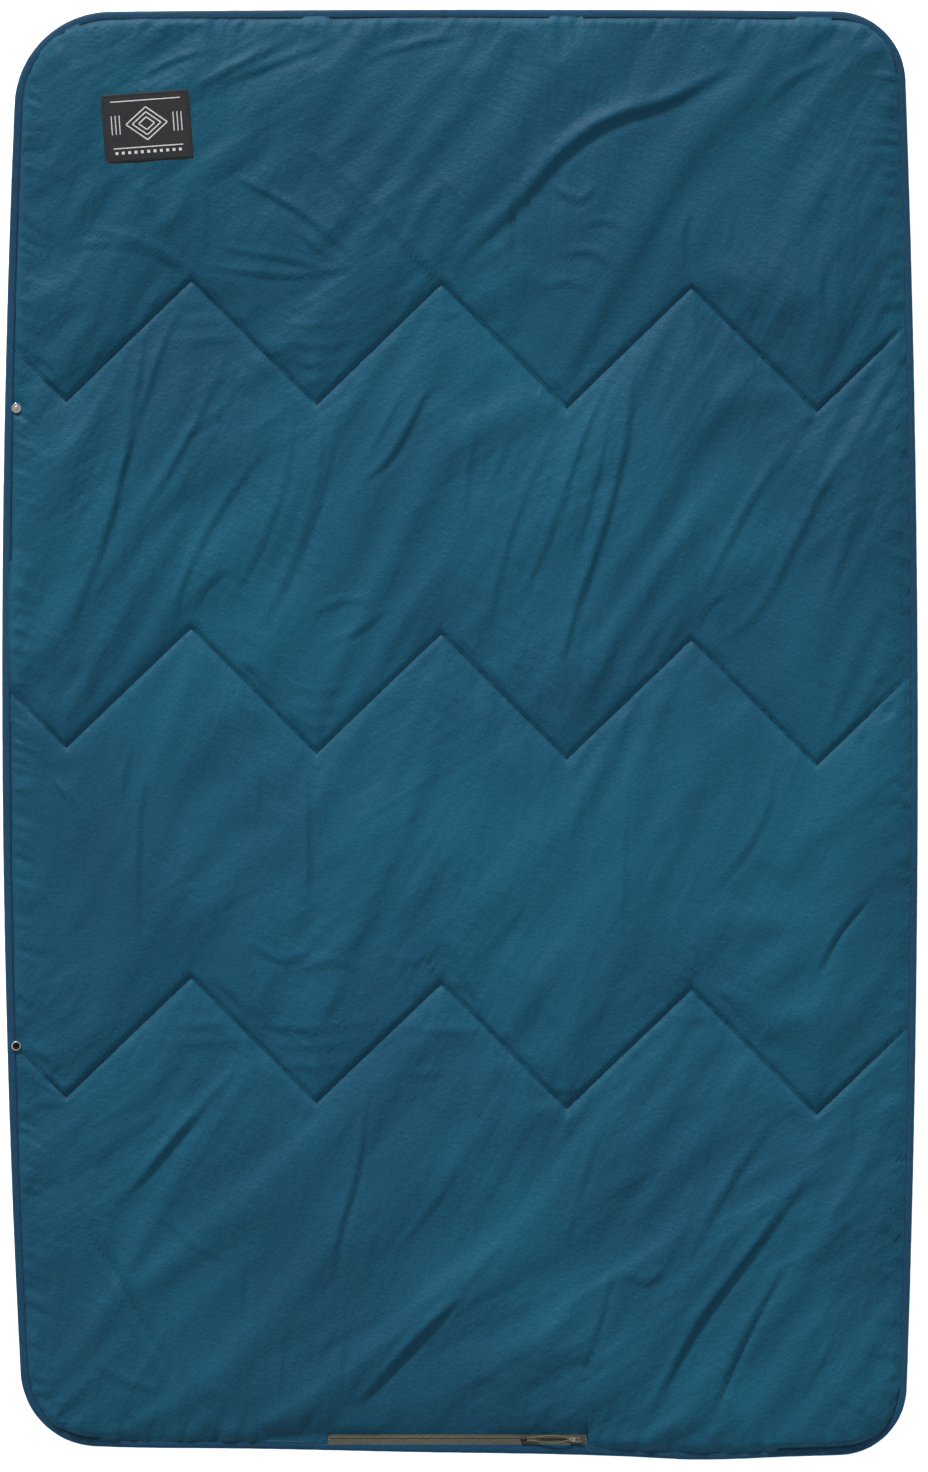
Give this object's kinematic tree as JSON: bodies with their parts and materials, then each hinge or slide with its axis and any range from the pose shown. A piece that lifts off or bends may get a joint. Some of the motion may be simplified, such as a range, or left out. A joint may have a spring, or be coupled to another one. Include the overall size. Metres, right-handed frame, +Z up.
{
  "type": "camp blanket",
  "caption": "Quilted, padded camp blanket with bound edge, zigzag seams, a zipped pocket at the foot edge and a snap pair to fasten it folded or worn.",
  "frame": {"origin": "on the surface it lies on, under the middle of the blanket's outline", "axes": "+X across the blanket, +Y towards the head edge (the label's end), +Z up out of the front face"},
  "size_m": [1.156, 1.83, 0.0223],
  "materials": {
    "teal_shell": "satin",
    "padding": "matt",
    "navy_binding": "satin",
    "dark_thread": "matt",
    "charcoal_label": "matt",
    "pocket_lining": "satin",
    "nickel": "satin",
    "olive_tape": "matt",
    "zip_coil": "satin",
    "zip_metal": "satin",
    "olive_cord": "matt",
    "dark_end": "matt"
  },
  "bodies": {
    "foot_half": {"back_shell_foot": "teal_shell", "binding_stitch_foot": "dark_thread", "edge_binding_foot": "navy_binding", "front_shell_foot": "teal_shell", "insulation_foot": "padding", "pocket_back_panel": "pocket_lining", "pocket_front_panel": "pocket_lining", "pocket_seam": "dark_thread", "quilting_stitch_2_foot": "dark_thread", "quilting_stitch_3": "dark_thread", "snap_socket": "nickel", "snap_socket_cap": "nickel", "zip_coil_lower": "zip_coil", "zip_coil_upper": "zip_coil", "zip_stitch": "dark_thread", "zip_stop_left": "zip_metal", "zip_stop_right": "zip_metal", "zip_tape_lower": "olive_tape", "zip_tape_upper": "olive_tape"},
    "head_half": {"back_shell_head": "teal_shell", "binding_stitch_head": "dark_thread", "edge_binding_head": "navy_binding", "front_shell_head": "teal_shell", "insulation_head": "padding", "label": "charcoal_label", "label_stitch": "dark_thread", "quilting_stitch_1": "dark_thread", "quilting_stitch_2_head": "dark_thread", "snap_stud": "nickel", "snap_stud_cap": "nickel"},
    "zip_slider": {"zip_slider": "zip_metal"},
    "zip_pull": {"zip_pull_tab": "zip_metal", "zip_pull_cord": "olive_cord", "zip_pull_knot": "dark_end"}
  },
  "joints": [
    {"name": "fold", "type": "hinge", "parent": "foot_half", "child": "head_half", "pos_m": [0, 0.0093, 0.023], "axis": [1, 0, 0], "range_deg": [0, 180]},
    {"name": "zip_slide", "type": "slide", "parent": "foot_half", "child": "zip_slider", "axis": [-1, 0, 0], "range_m": [0, 0.3085]},
    {"name": "pull_swing", "type": "hinge", "parent": "zip_slider", "child": "zip_pull", "pos_m": [0.15075, -0.889, 0.0103], "axis": [0, 1, 0], "range_deg": [0, 170]}
  ]
}
